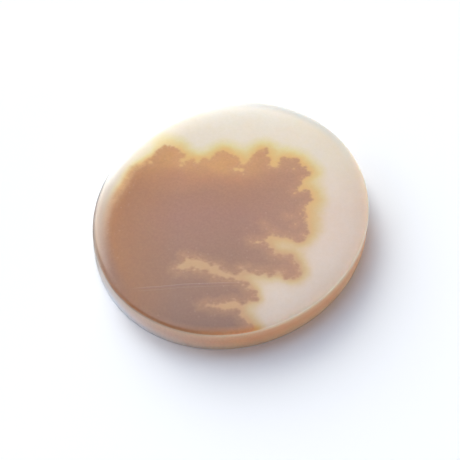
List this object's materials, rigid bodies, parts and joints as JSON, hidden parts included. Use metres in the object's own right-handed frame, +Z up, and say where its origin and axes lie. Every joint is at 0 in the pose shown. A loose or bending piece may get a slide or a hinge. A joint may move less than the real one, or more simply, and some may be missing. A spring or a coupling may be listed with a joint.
{
  "type": "dendritic agate specimen",
  "caption": "Polished oval tablet of milky agate with brown, tree-like dendrites, flat below, soft-shouldered on top, for display or setting.",
  "frame": {"origin": "middle of the flat underside, on the surface that the tablet rests on", "axes": "+Z up through the tablet's thickness, +X to the viewer's right and +Y away from the viewer when the polished top is seen with the dendrites' clear border on the right; the oval's long axis leans about 25 degrees from +Y towards +X"},
  "size_m": [0.0364, 0.0394, 0.0038],
  "materials": {
    "dendritic_agate": "polished, milky and translucent, with brown dendrites edged in yellow"
  },
  "bodies": {
    "root": {"agate_slice": "dendritic_agate"}
  },
  "joints": []
}
